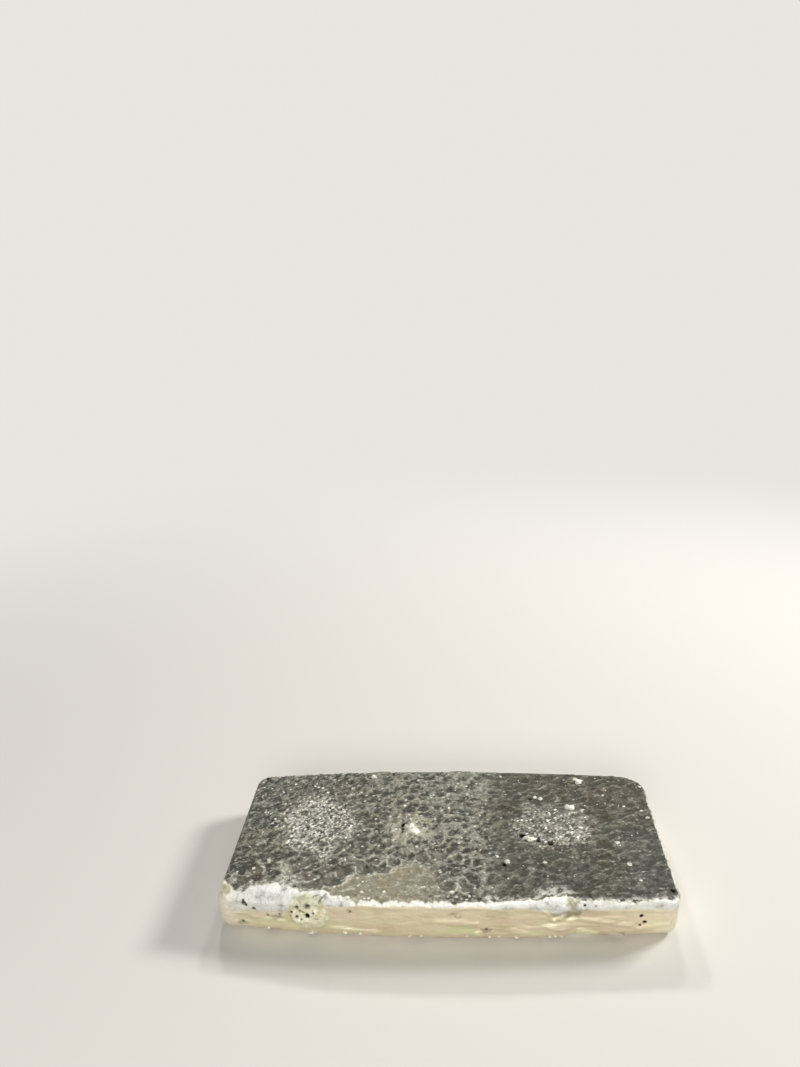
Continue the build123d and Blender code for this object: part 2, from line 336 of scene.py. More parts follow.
bar = {
    "voxel": 0.54,
    # share of faces kept on the underside and on the hidden walls, and where these are
    "undersideTop": 0.6,
    "undersideKept": 0.03,
    "hiddenFront": -30.0,
    "hiddenTop": 17.5,
    "hiddenKept": 0.18,
    # levels between which the poured face begins, and places between which the front wall ends
    "faceStart": (18.6, 19.8),
    "frontEnd": (-41.5, -38),

    # line on the poured face where the dark crust stops and the bright rim begins
    "crustEdge": [(-103, -31), (-99, -34), (-94, -39.8), (-89, -40.3), (-86, -37.6), (-81, -37.4),
                  (-76, -35), (-70, -37.5), (-64, -40.6), (-53, -39.6), (-49, -43.4), (-38, -46.2),
                  (12, -46.3), (20, -45.8), (30, -45.0), (40, -44.4), (46, -42.8), (53, -41.4),
                  (59, -43.8), (80, -43.7), (99, -41.6), (104, -38)],
    # level on the front wall down to which the rim is white, partly worn metal and partly painted highlight
    "rimFoot": [(-103, 10), (-96, 12), (-85, 13.5), (-72, 12.5), (-66, 17.5), (-44, 18.7), (-34, 20.2),
                (12, 20.2), (24, 19.6), (40, 18.7), (52, 15.5), (60, 18.0), (84, 17.6), (104, 15.5)],
    # pale frost on the crust behind the rim: share
    "frosted": [(-70, -33.5, 7, 5.5, 0.75), (-52, -41, 5, 3, 0.75), (48.5, -39.6, 10, 4, 0.75),
                (21, -43.5, 5, 2.4, 0.75)],
    # olive stains over the white rim: lowest level, share
    "rimStains": [(-98, -38.2, 2.8, 3.2, 16, 0.9), (56.2, -45, 3.4, 6, 12, 0.85),
                  (87.5, -41.5, 2.4, 2.6, 18.5, 0.6), (62, -43, 2, 3, 17.5, 0.4)],

    # three of the four grounds of the crust are cells: size along and across, seed, widest hollow,
    # the way that the lip's painted highlight faces, how far it has to face there, and its width
    "cobbledCells": {"size": (6.2, 4.0), "seed": 2.0, "widest": 0.72, "faces": (0.6, -0.8),
                     "worn": (0.1, 0.45), "lip": 0.2},
    "dimpledCells": {"size": (4.4, 3.4), "seed": 6.0, "widest": 0.8, "faces": (0.6, -0.8),
                     "worn": (0.1, 0.5), "lip": 0.22},
    "streakedCells": {"size": (4.8, 3.0), "seed": 7.0, "widest": 0.75, "faces": (0.4, -0.9),
                      "worn": (0.15, 0.5), "lip": 0.2},
    # a hollow deeper than this gains less and less, and a bump stops at its top
    "deepFrom": -0.3,
    "deepSpan": 0.28,
    "bumpTop": 0.4,
    # mark of level ground, of which hollows fall short
    "levelMark": 0.62,
    # upper edge of the smooth tan patch near the front
    "patchEdge": [(-54, -44), (-50, -37.5), (-41, -31.8), (-34, -29), (-27, -29.5), (-21, -25),
                  (-19, -20.5), (-11, -21), (-4, -24), (3, -26), (6, -34), (8, -44)],
    # smooth dark cups, with a painted highlight on the side of the lip that faces the light
    "cups": [(-45, -28.2, 4.6, 3.6), (-50.5, -34.2, 6.2, 3.2), (-62.3, -32, 5.2, 2.8),
             (-57.8, -36.8, 5, 2.6), (-28, -26.4, 4.0, 3.6), (-35.4, -28, 4.4, 3.0),
             (-38.4, -23.6, 3, 2.4), (-22.9, -22.1, 3.3, 3.0), (-31, -21.9, 2.2, 1.6),
             (-1, -17.6, 3.6, 3), (-10.2, -19, 3.3, 3), (1.6, -36.8, 4.2, 3.6),
             (-71, -26, 4.4, 2.6), (-54.3, -27.7, 3.6, 2.4), (-75.8, -34, 4.2, 2.6),
             (-86.7, -27, 3.6, 3), (6, -19, 2.6, 2.6), (-65.6, -22.8, 3.8, 2.8),
             (10.4, -37.6, 3.2, 2.6), (-91, -34, 3.6, 3)],
    # paler (above 0) or browner (below 0) drifts over the crust: share
    "drifts": [(-72, -32, 5.5, 9, 0.8), (-79, -36.5, 5, 2.5, 0.5), (-88, -30, 7, 7, -0.6),
               (-50, -31, 6, 4, -0.5), (-60, -33, 5, 4, -0.4), (-66, -38, 5, 3, 0.6),
               (33, -26, 10, 8, -0.4), (-74, 31, 14, 8, -0.5), (-38, 23, 8, 6, -0.4),
               (-28, 14, 7, 6, 0.4), (5, -2, 9, 8, 0.4), (-97, -36, 3, 4, 0.4),
               (66, 33, 32, 10, -0.3), (-8, -12, 14, 8, 0.25)],
    # spots where the face glints, over which the finish paints sheen and highlight points
    "leftGlint": (-63, 4, 20, 24),
    "rightGlint": (53, 4, 24, 20),
    "oliveSpot": (-17, 2, 15, 12),
    "brownSpot": (80, 8, 17, 34),
    "coolSpot": (44, -26, 26, 14),
    # fine arcs on the face: where they show, and their middle
    "arcSpot": (30, -8, 12, 6),
    "arcMiddle": (32, -28),

    # porous lump: its middle and its reach
    "lumpMiddle": (-59.6, -46, 14.2),
    "lumpReach": (9.6, 6.5, 9.4),
    # cracks and a pale edge on top of the lump: ends, half width
    "cracks": [((-57.1, -43.9), (-54.9, -42.7), 0.35), ((-54.2, -45.8), (-51.6, -42.2), 0.4)],
    "lumpLips": [((-66.5, -42.6), (-61.7, -40.6), 0.8), ((-61.7, -40.6), (-52.9, -40.6), 0.8)],

    # pits in the poured face: place along, place across, radius, depth
    "facePits": [(-19.6, 3.4, 2.1, 1.2), (-20.3, 0.6, 1.2, 0.8), (37.2, -3.2, 1.9, 1.1),
                 (44.3, -6.2, 1.3, 0.7), (49.9, -8, 1.4, 0.8), (27.5, -22.8, 1.1, 0.7),
                 (99.6, -36, 1.6, 0.9), (-69, 33.6, 0.7, 0.4), (43, 24, 0.9, 0.5),
                 (-96, 41, 0.9, 0.5), (-47, -23, 0.7, 0.4)],
    # pits in the front wall: place along, level, radius, depth
    "wallPits": [(-59.7, 17.8, 1.7, 0.6), (-64.4, 17.0, 1.1, 0.4), (-63.1, 15.4, 0.9, 0.4),
                 (-60.0, 12.8, 1.1, 0.4), (-64.6, 12.8, 0.9, 0.4), (-61.5, 14.8, 0.5, 0.4),
                 (-89.3, 17.8, 0.7, 0.5), (-88.1, 15.7, 0.8, 0.5), (-57.4, 16.0, 0.4, 0.3),
                 (-55.6, 12.2, 0.4, 0.3), (-67.6, 12.2, 0.5, 0.4), (-88.9, 16.4, 1.2, 1.0),
                 (85.0, 13.4, 1.0, 0.5), (86.6, 9.7, 0.9, 0.5), (-84.6, 14, 0.9, 0.6),
                 (-90.4, 6, 0.7, 0.5), (-66.9, 14.6, 0.7, 0.6), (-72.8, 12.1, 0.6, 0.4),
                 (-40.7, 16.2, 0.6, 0.5), (84.6, 8.1, 0.8, 0.6), (18.5, 7.5, 0.7, 0.5),
                 (-57.2, 14.8, 0.6, 0.4), (-62.6, 11.6, 0.5, 0.3), (-78.4, 10.8, 0.6, 0.4),
                 (60.5, 20.3, 0.6, 0.3), (65.3, 19.9, 0.45, 0.3)],

    # low swellings and dents in the front wall: height
    "wallSwells": [(-73.5, 10, 3.0, 1.2, -0.25), (6.2, 15.4, 3.4, 2.4, -0.25),
                   (6.4, 15.1, 1.4, 1.1, 0.35), (15.4, 4.8, 2.6, 2.2, 0.45),
                   (53.8, 14.8, 4.5, 2.6, -0.55), (50, 8.5, 9, 2.2, 0.35),
                   (62, 6.5, 10, 2.5, -0.35), (40, 11, 9, 3.0, -0.25), (71, 12, 8, 2.0, 0.25)],
    # folds in the front wall where the metal ran together: ends as place and level, width, height
    "wallFolds": [((43.6, 17.4), (47.2, 12.0), 1.1, 0.3), ((47.2, 12.0), (52, 14.0), 1.1, 0.3),
                  ((46.5, 7.4), (55, 6.4), 1.3, 0.2), ((57, 6.2), (66, 2.4), 1.5, 0.32),
                  ((59, 12.8), (80, 8.4), 1.2, 0.24), ((30, 6.5), (42, 3), 1.4, 0.2),
                  ((84, 6), (98, 8.5), 1.3, 0.22), ((-86, 9.6), (-72, 7.6), 1.3, 0.18),
                  ((-50, 6), (-28, 4.2), 1.2, 0.25), ((-8, 12), (14, 10.4), 1.4, 0.2)],
    # lime (above 0) and rosy (below 0) tints of the wall: share
    "wallTints": [(-76, 7.5, 9, 2.6, 1.0), (-66, 7, 6, 2.4, 0.9), (-87, 5.5, 6, 2, 0.7),
                  (-82, 11.5, 8, 2, -0.9), (-43, 13.5, 9, 2.6, -0.9), (-47, 7, 10, 2.6, 0.6),
                  (-22, 9, 12, 3, -0.5), (4, 6, 12, 3, 0.7), (28, 12, 12, 2.4, -0.8),
                  (36, 5, 8, 2.4, 0.5), (64, 14.5, 14, 2.0, -0.7), (60, 5, 8, 2.4, 0.9),
                  (77, 7, 8, 3, -0.8), (93, 8, 7, 5, 0.5), (14.8, 5.2, 3.2, 2.4, 1.0),
                  (85.4, 10.8, 3.2, 3.6, -1.0)],
    # dull stains on the wall: share
    "wallStains": [(53.8, 17.6, 4.6, 4.2, 1), (48.6, 15.4, 3.0, 1.8, 1), (19.4, 6.6, 1.2, 1.0, 1),
                   (4.0, 16.2, 2.2, 0.8, 1), (17.4, 7.2, 2.2, 1.6, 1), (-74.4, 9.8, 3.2, 1.5, 1),
                   (-74.6, 9.9, 1.6, 0.9, 1), (-90, 5.5, 3.0, 1.6, 1), (74, 2.6, 5, 1.6, 1),
                   (-42, 16, 1.6, 1.2, 1)],
    # stain in the shape of a ring: its middle and its radii along and up
    "ring": (6.4, 15.1, 1.3, 1.05),

    "tones": {
        # of the wall, the rim, the lump, the crust and the patch: places along the grain and colours
        "wall": [(0.32, (0.665, 0.572, 0.39)), (0.43, (0.785, 0.712, 0.505)),
                 (0.52, (0.828, 0.765, 0.561)), (0.60, (0.801, 0.68, 0.522)),
                 (0.68, (0.728, 0.727, 0.463))],
        # the rim's white: partly worn metal, partly painted highlight on its rounding
        "rim": [(0.34, (0.30, 0.303, 0.28)), (0.43, (0.61, 0.62, 0.605)), (0.54, (0.74, 0.75, 0.725))],
        "lump": [(0.34, (0.33, 0.32, 0.18)), (0.46, (0.62, 0.60, 0.41)), (0.62, (0.80, 0.79, 0.64))],
        "crustHue": [(0.34, (0.198, 0.185, 0.136)), (0.47, (0.205, 0.201, 0.157)),
                     (0.60, (0.193, 0.202, 0.171))],
        "streaky": [(0.12, (0.068, 0.070, 0.058)), (0.42, (0.062, 0.063, 0.038)),
                    (0.80, (0.072, 0.058, 0.037))],
        "patch": [(0.36, (0.250, 0.210, 0.137)), (0.52, (0.236, 0.222, 0.157)),
                  (0.66, (0.320, 0.298, 0.220))],
        "lime": (0.85, 0.84, 0.56),
        "rosy": (0.83, 0.70, 0.535),
        "wallEnd": (0.70, 0.65, 0.525),
        "stain": (0.40, 0.37, 0.25),
        "rimStain": (0.33, 0.315, 0.20),
        # painted highlight along the rim's top edge
        "rimHighlight": (0.90, 0.91, 0.87),
        "lumpEdge": (0.34, 0.31, 0.16),
        # the crust's darkest tone, which also paints shade in its hollows and furrows
        "crustDark": (0.030, 0.028, 0.022),
        # pale tone of the painted highlight on the crust's lips
        "crustPale": (0.60, 0.59, 0.50),
        "fleck": (0.70, 0.70, 0.64),
        # painted highlight on ridge tops
        "ridgeHighlight": (0.44, 0.435, 0.365),
        # painted sheen and painted highlight points where the face glints
        "glint": (0.56, 0.55, 0.47),
        "glintPoint": (0.84, 0.83, 0.76),
        "haze": (0.36, 0.355, 0.28),
        "brown": (0.105, 0.086, 0.058),
        "cup": (0.084, 0.077, 0.060),
        "olive": (0.42, 0.405, 0.31),
        "frost": (0.54, 0.535, 0.48),
        # near black painted shade in pits and cracks
        "pitShade": (0.010, 0.009, 0.008),
    },
    # metal and roughness of each finish
    "metal": {"wall": 0.75, "wallEnd": 0.35, "crust": 0.5, "rim": 0.3, "lump": 0.3, "pitShade": 0.0},
    "roughness": {"wall": 0.48, "wallEnd": 0.65, "crust": 0.34, "streak": 0.42, "glint": 0.24,
                  "patch": 0.5, "rim": 0.48, "lump": 0.6, "pitShade": 0.9},
    # places along between which the wall turns dull towards its ends, in metres as materials read them
    "dullLeft": (-0.086, -0.098),
    "dullRight": (0.092, 0.100),
}


# How deep a smooth cup lies at one place, how far the place is in it, and how far on its lip
def cupAt(x, y):
    sink, inside, lip = 0.0, 0.0, 0.0
    shiftX = x + 0.9 * ripple(x, y, 2.6, 2.6, 12.1)
    shiftY = y + 0.9 * ripple(x, y, 2.6, 2.6, 13.4)
    for placeX, placeY, reachX, reachY in bar["cups"]:
        alongShare = (shiftX - placeX) / reachX
        acrossShare = (shiftY - placeY) / reachY
        away = math.hypot(alongShare, acrossShare)
        if away < 1.5:
            inside = max(inside, 1 - ease(away, 0.7, 1.02))
            sink = min(sink, -0.55 * (1 - min(away, 1.0) ** 2))
            # painted highlight: the lip is paler on the side that faces the light
            facing = 0.5 + 0.5 * (0.6 * alongShare - 0.8 * acrossShare) / max(away, 0.1)
            lip = max(lip, facing * bell(away - 1.1, 0.2))
    return sink, inside, lip * (1 - inside)


# How far a place lies in the smooth tan patch, and how strong the painted highlight along the patch's
# raised edge is there
def patchAt(x, y):
    patch, edge = 0.0, 0.0
    edgeX = x + 1.3 * ripple(x, y, 3.5, 3.5, 3.8)
    edgeY = y + 1.3 * ripple(x, y, 3.5, 3.5, 7.2)
    beyond = edgeY - lineAt(bar["patchEdge"], edgeX)
    blend = 1 + 3.5 * ease(edgeX, -24, -10)
    if -55 < edgeX < 9:
        patch = (1 - ease(beyond, -1.3 * blend, 0.6)) * (1 - ease(edgeX, -14, 5))
    # painted highlight along the patch's raised edge
    if -52 < x < 5:
        edge = 0.8 * (1 - ease(x, -24, -6)) * bell(beyond + 0.5, 0.7)
    return patch, edge


# How brightly the face glints on its left and on its right; the finish paints sheen and highlight points
# there
def glintsAt(x, y):
    swayX = x + 7 * ripple(x, y, 8, 8, 15.9)
    swayY = y + 7 * ripple(x, y, 8, 8, 19.3)
    broken = 0.3 * ripple(x, y, 4.5, 3.5, 23.6)
    left = ease(spot(swayX, swayY, *bar["leftGlint"]) + broken, 0.0, 0.95)
    left *= 1.0 + 0.45 * ripple((x + y) * 0.7, (y - x) * 0.7, 7, 2.6, 24.2)
    right = ease(spot(swayX, swayY, *bar["rightGlint"]) + broken, 0.05, 1.1)
    return left, right


# Hollow of the cell that a place lies in, and the painted highlight on the side of its lip that faces the
# light
def cellAt(x, y, cells):
    alongShare = x / cells["size"][0]
    acrossShare = y / cells["size"][1]
    distances, middles = noise.voronoi(Vector((alongShare, acrossShare, cells["seed"])))
    hollow = min(distances[0], cells["widest"]) ** 2
    weightX, weightY = cells["faces"]
    facing = weightX * (alongShare - middles[0].x) + weightY * (acrossShare - middles[0].y)
    worn = ease(facing, *cells["worn"]) * (1 - ease(distances[1] - distances[0], 0.02, cells["lip"]))
    return hollow, worn


# Slanted creases of the fine ground
def creaseAt(x, y):
    along = (x + y) / 1.414
    aside = (y - x) / 1.414
    distances = noise.voronoi(Vector((along / 2.8, aside / 1.6, 4.0)))[0]
    crease = ease(distances[1] - distances[0], 0.0, 0.4)
    return 0.6 * (crease - 1) + 0.55 * ripple(along * 1.4, aside * 1.4, 6, 2.6, 8.2)


# How far the poured face lies in or out of the casting at one place, and the marks it has there
def faceAt(x, y):
    warpX = x + 2.2 * ripple(x, y, 9, 9, 3.1)
    warpY = y + 2.2 * ripple(x, y, 9, 9, 7.7)
    sink, cup, lip = cupAt(x, y)
    patch, patchLip = patchAt(x, y)
    patch *= 1 - cup
    lip = max(lip, patchLip * (1 - cup))
    lip *= ease(ripple(x, y, 3.2, 3.2, 21.4), -0.35, 0.15)
    leftGlint, rightGlint = glintsAt(x, y)
    oliveX = x + 9 * ripple(x, y, 8, 8, 5.9)
    oliveY = y + 9 * ripple(x, y, 8, 8, 9.3)
    olive = spot(oliveX, oliveY, *bar["oliveSpot"])

    # the four grounds: fine at the back left, cobbled at the front left, streaked right, dimpled between
    fine = (1 - ease(warpX, -48, -34)) * ease(warpY, -22, -12)
    cobbled = (1 - ease(warpX, -40, -28)) * (1 - ease(warpY, -22, -12))
    streaked = ease(warpX, 14, 34)
    dimpled = max(0.0, 1 - fine - cobbled - streaked)
    relief = 0.26 * noise.fractal(Vector((x / 2.6, y / 2.3, 5.5)), 0.7, 2.2, 3)
    if fine > 0.01:
        relief += fine * creaseAt(x, y)
    if cobbled > 0.01:
        hollow, worn = cellAt(warpX, warpY, bar["cobbledCells"])
        relief += cobbled * (2.3 * hollow - 1.2)
        lip = max(lip, 0.75 * cobbled * worn * (1 - cup))
    if dimpled > 0.01:
        hollow, worn = cellAt(warpX, warpY, bar["dimpledCells"])
        small = noise.voronoi(Vector((x / 2.0, y / 1.8, 3.0)))[0]
        relief += dimpled * (1 - 0.7 * olive) * (2.2 * hollow - 1.05 + 0.6 * min(small[0], 0.8) ** 2)
        lip = max(lip, 0.5 * dimpled * worn * (1 - cup) * (1 - olive))
    if streaked > 0.01:
        slantY = warpY - 0.16 * x
        hollow, worn = cellAt(warpX, slantY, bar["streakedCells"])
        relief += streaked * (0.6 * ripple(warpX, slantY, 7, 3.4, 2.2) - 0.25 + 1.3 * (hollow - 0.4))
        relief += streaked * rightGlint * 0.35 * ripple(x, y, 1.9, 1.5, 6.1)
        lip = max(lip, 0.35 * streaked * worn * (1 - rightGlint))
    arcs = spot(x, y, *bar["arcSpot"])
    if arcs > 0.01:
        away = math.hypot(x - bar["arcMiddle"][0], (y - bar["arcMiddle"][1]) * 0.9)
        relief += 0.3 * arcs * math.sin(away * 2.1)
    relief *= (1 - 0.8 * patch) * (1 - 0.85 * cup)
    relief += patch * 0.16 * ripple(x, y, 5, 4, 14.2)

    height = relief + sink + 0.2 * lip + 0.35 * ripple(x, y, 26, 20, 1.3) + 0.2 * patch
    if height < bar["deepFrom"]:
        deeper = (height - bar["deepFrom"]) / bar["deepSpan"]
        height = bar["deepFrom"] - bar["deepSpan"] * (1 - math.exp(deeper))
    height = min(height, bar["bumpTop"])

    # browner along the right end, cooler at its front
    cool = ease(warpX, 66, 90) * (1 - ease(warpY, 2, 16))
    tint = 0.5 + 0.5 * spot(warpX, warpY, *bar["brownSpot"]) * (1 - cool)
    tint -= 0.5 * max(cool, 0.8 * spot(warpX, warpY, *bar["coolSpot"]))
    sway = 3 * ripple(x, y, 5, 5, 26.1)
    return height, {
        "hollow": relief,
        "smoothPatch": patch,
        "glint": max(leftGlint, rightGlint),
        "olive": olive,
        "streak": streaked,
        "cup": cup,
        "lip": lip,
        "drift": strongest(x + sway, y - sway, bar["drifts"]),
        "tint": tint,
        "fine": fine,
    }


# How deep a pit lies at one place, and how much painted shade fills it there
def pitAt(x, y, pits):
    depth, dark = 0.0, 0.0
    for placeX, placeY, reach, deep in pits:
        away = math.hypot(x - placeX, y - placeY) / reach
        if away < 1.6:
            depth -= deep * (1 - ease(away, 0.2, 1.25))
            dark = max(dark, 1 - ease(away, 0.5, 1.2))
    return depth, dark


# How far a place is past the crust's edge, towards the back
def pastEdge(x, y):
    edgeY = lineAt(bar["crustEdge"], x) + 1.1 * ripple(x, y, 4, 4, 1.9) + 0.9 * ripple(x, y, 1.4, 1.4, 2.9)
    return y - edgeY


# How white the rim is at one place, along the front and faintly at the right end: partly worn metal, partly
# painted highlight on its rounding
def rimAt(x, y, z, past):
    foot = lineAt(bar["rimFoot"], x) + 0.8 * ripple(x, z, 5, 3, 5.1)
    fade = 1.0 + 1.6 * ease(-x, 60, 75) - 0.45 * ease(x, -46, -38) * (1 - ease(x, 16, 30))
    rim = (1 - ease(past, -0.4, 0.4)) * ease(z, foot - fade, foot + fade) * (1 - ease(y, -34, -28))
    rim *= 1 - 0.75 * (1 - ease(x + 3 * ripple(y, z, 4, 4, 6.4), -98, -90))
    rightEnd = ease(x, 101.2, 101.9) * ease(z, 17.5, 18.8) * ease(y, -40, -34) * (1 - ease(y, 24, 34))
    return max(rim, 0.35 * rightEnd * ease(ripple(y, z, 5, 3, 4.4), -0.6, 0.0))


# How pale the crust is frosted behind the rim
def frostAt(x, y, past):
    reach = 1.6 - 0.8 * ease(x, -48, -40) + 3.0 * ease(x, 12, 30) + 4.5 * spot(x, 0, 49, 0, 11, 1)
    sway = 3 * ripple(x, y, 4, 4, 2.7)
    frost = max(1 - ease(past, 0, reach), strongest(x + sway, y, bar["frosted"]))
    return frost * (1 - ease(y, -31, -26))


# How olive the rim is stained
def rimStainAt(x, y, z):
    stain = 0.0
    sway = 2.2 * ripple(x, y + z, 1.8, 1.8, 5.5)
    for placeX, placeY, reachX, reachY, lowest, share in bar["rimStains"]:
        covered = spot(x + sway, y, placeX, placeY, reachX, reachY) * ease(z + sway, lowest - 1, lowest + 4)
        stain = max(stain, share * covered)
    return stain


# How far a place belongs to the porous lump
def lumpAt(x, y, z):
    middleX, middleY, middleZ = bar["lumpMiddle"]
    reachX, reachY, reachZ = bar["lumpReach"]
    swayX = x + 2.4 * ripple(x, z, 4, 4, 8.8)
    swayZ = z + 1.6 * ripple(x, z, 4, 4, 1.1)
    behind = max(y - middleY, 0.0) / reachY
    away = math.hypot((swayX - middleX) / reachX, (swayZ - middleZ) / reachZ, behind)
    return 1 - ease(away, 0.82, 1.08)


# How far the front wall swells out at one place, each fold with a furrow on both sides
def wallRelief(x, z):
    height = 0.16 * ripple(x, z, 12, 5, 4.4)
    for placeX, level, reachX, reachZ, tall in bar["wallSwells"]:
        if abs(x - placeX) < 1.2 * reachX:
            height += tall * spot(x, z, placeX, level, reachX, reachZ)
    for start, finish, width, tall in bar["wallFolds"]:
        if start[0] - 4 < x < finish[0] + 4:
            share = min(max((x - start[0]) / (finish[0] - start[0]), 0.0), 1.0)
            level = start[1] + share * (finish[1] - start[1])
            away = math.hypot(z - level, max(start[0] - x, x - finish[0], 0.0)) / width
            height += tall * (bell(away, 1.0) - 0.6 * bell(away - 1.6, 0.8))
    return height


# How dull the wall is stained: spots, a ring, and a faint line below the white rim
def wallStainAt(x, z):
    sway = 1.6 * ripple(x, z, 2.4, 2.0, 7.3)
    stain = strongest(x + sway, z + sway, bar["wallStains"])
    middleX, level, radiusX, radiusZ = bar["ring"]
    away = math.hypot((x - middleX + 0.8 * ripple(x, z, 2, 2, 3.3)) / radiusX, (z - level) / radiusZ)
    stain = max(stain, 0.9 * bell(away - 1, 0.3))
    line = bell(z - lineAt(bar["rimFoot"], x) + 1.7, 0.8) * ease(x, -46, -38)
    return max(stain, 0.32 * line)


# How far the skin moves out of the casting at one point, and the marks its finish reads there
def skinAt(place, normal):
    x, y, z = place
    past = pastEdge(x, y)
    onTop = ease(z, *bar["faceStart"])
    crust = ease(past, -0.4, 0.4) * onTop
    front = 1 - ease(y, *bar["frontEnd"])
    rim = rimAt(x, y, z, past)
    lump = lumpAt(x, y, z) * front * (1 - crust)
    face = ease(normal.z, 0.5, 0.9) * onTop * ease(past, -2.5, 1.5)
    wall = ease(-normal.y, 0.3, 0.8) * front * (1 - onTop * 0.5)
    sides = (1 - front) * (1 - ease(z, 17, 19)) * ease(z, 1.0, 3.0)

    height, marks = faceAt(x, y)
    faceSink, facePit = pitAt(x, y, bar["facePits"])
    wallSink, wallPit = pitAt(x, z, bar["wallPits"])
    crack = max(onLine(x, y, *line) for line in bar["cracks"]) * ease(z, 17, 19)
    move = face * (height + faceSink) + wall * (wallRelief(x, z) + wallSink) - 0.3 * crack
    move += rim * (0.3 * ripple(x, y + z, 4.5, 3.0, 9.4) + 0.12 * ripple(x, y + z, 1.5, 1.5, 3.4))
    move += lump * (0.35 + 0.7 * ripple(x, z, 4.0, 3.4, 6.6) + 0.3 * ripple(x, z, 1.5, 1.5, 2.6))
    move += sides * 0.2 * noise.noise(Vector((x / 9, y / 9, z / 5)))

    lumpLip = max(onLine(x, y, *line) for line in bar["lumpLips"])
    endLip = 0.8 * ease(x, 101.2, 101.7) * ease(y, -40, -34) * (1 - ease(y, 26, 36))
    marks["lip"] = max(marks["lip"], lumpLip, endLip)
    for name in ("smoothPatch", "glint", "olive", "streak", "cup", "lip", "drift"):
        marks[name] *= crust
    marks["hollow"] = bar["levelMark"] + face * marks["hollow"]
    marks["crust"] = crust
    marks["frost"] = frostAt(x, y, past) * crust
    # painted shade in the pits and cracks
    marks["pitShade"] = max(facePit * ease(z, 17, 18.4), wallPit * front, 0.8 * crack)
    marks["lumpCrust"] = lump
    # the white rim, partly wear and partly painted highlight
    marks["rimWearAndHighlight"] = rim
    marks["rimStain"] = rimStainAt(x, y, z) * (1 - crust)
    alongMiddle = ease(x, -52, -44) * (1 - ease(x, 36, 44))
    # painted highlight line along the rim's top edge
    marks["rimHighlight"] = bell(past + 0.8, 0.9) * ease(z, 16.5, 18.5) * alongMiddle
    marks["stain"] = wall * wallStainAt(x, z)
    sway = 2.4 * ripple(x, z, 4, 3, 11.3)
    marks["wallTint"] = strongest(x + sway, z + 0.5 * sway, bar["wallTints"]) * front
    return move, marks


# Even skin around a copy of the casting
def makeSkin():
    clearSelection()
    cad = bpy.data.objects["dore_bar"]
    made = bpy.data.objects.new("dore_casting", cad.data.copy())
    made.matrix_world = cad.matrix_world.copy()
    scene.collection.objects.link(made)
    pick(made)
    bpy.ops.object.transform_apply(location=True, rotation=True, scale=True)
    bpy.ops.object.mode_set(mode="EDIT")
    bpy.ops.mesh.select_all(action="SELECT")
    bpy.ops.mesh.remove_doubles(threshold=0.00001)
    bpy.ops.object.mode_set(mode="OBJECT")
    skin = made.modifiers.new("skin", "REMESH")
    skin.mode = "VOXEL"
    skin.voxel_size = bar["voxel"] * mm
    bpy.ops.object.modifier_apply(modifier="skin")
    made.data.materials.clear()
    return made


# Fewer faces where nothing is seen up close
def thinOut(thing, test, share):
    pick(thing)
    bpy.ops.object.mode_set(mode="EDIT")
    bpy.ops.mesh.select_mode(type="VERT")
    bpy.ops.mesh.select_all(action="DESELECT")
    bpy.ops.object.mode_set(mode="OBJECT")
    for vertex in thing.data.vertices:
        vertex.select = test(vertex.co / mm)
    bpy.ops.object.mode_set(mode="EDIT")
    bpy.ops.mesh.decimate(ratio=share)
    bpy.ops.mesh.select_all(action="DESELECT")
    bpy.ops.object.mode_set(mode="OBJECT")


def onUnderside(place):
    return place.z < bar["undersideTop"]


def onHiddenWall(place):
    return place.y > bar["hiddenFront"] and bar["undersideTop"] <= place.z < bar["hiddenTop"]


def makeBar():
    made = makeSkin()
    thinOut(made, onUnderside, bar["undersideKept"])
    thinOut(made, onHiddenWall, bar["hiddenKept"])
    mesh = made.data
    print("bar skin", len(mesh.vertices), "points")

    moves = []
    rows = {}
    for vertex in mesh.vertices:
        move, marks = skinAt(vertex.co / mm, vertex.normal)
        moves.append(vertex.normal * (move * mm))
        for name, value in marks.items():
            rows.setdefault(name, []).append(value)
    for vertex, move in zip(mesh.vertices, moves):
        vertex.co += move
    for name, row in rows.items():
        layer = mesh.attributes.new(name, "FLOAT", "POINT")
        layer.data.foreach_set("value", row)
    mesh.update()
    pick(made)
    bpy.ops.object.shade_smooth()
    made.data.materials.append(barFinish())
    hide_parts("dore_bar")
    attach(made, "root")
    print("bar relief done", len(mesh.polygons), "faces")


# Pale gold wall, tinted in places and stained, and duller towards its ends
def wallFinish(tree, place, end):
    tones = bar["tones"]
    wall = ramp(tree, grain(tree, stretched(tree, place, (1, 1, 1.5)), 62), tones["wall"])
    tint = readMark(tree, "wallTint")
    wall = mixTones(tree, remap(tree, tint, 0.0, 1.0, 0.0, 0.75), wall, tones["lime"])
    wall = mixTones(tree, remap(tree, tint, 0.0, -1.0, 0.0, 0.7), wall, tones["rosy"])
    wall = mixTones(tree, end, wall, tones["wallEnd"])
    return mixTones(tree, times(tree, readMark(tree, "stain"), 0.7), wall, tones["stain"])


# Small ridges of the crust: slanted at the back left, level on the streaked ground, even elsewhere.
# They bump the crust and also place its painted ridge highlights and furrow shade
def crustRidges(tree, place):
    slanted = grain(tree, stretched(tree, place, (0.45, 1.0, 1), 38), 520, 3, 0.6)
    level = grain(tree, stretched(tree, place, (0.55, 1.0, 1), 8), 330, 4, 0.6)
    ridges = mixValues(tree, readMark(tree, "fine"), grain(tree, place, 360, 4, 0.62), slanted)
    return mixValues(tree, readMark(tree, "streak"), ridges, level)
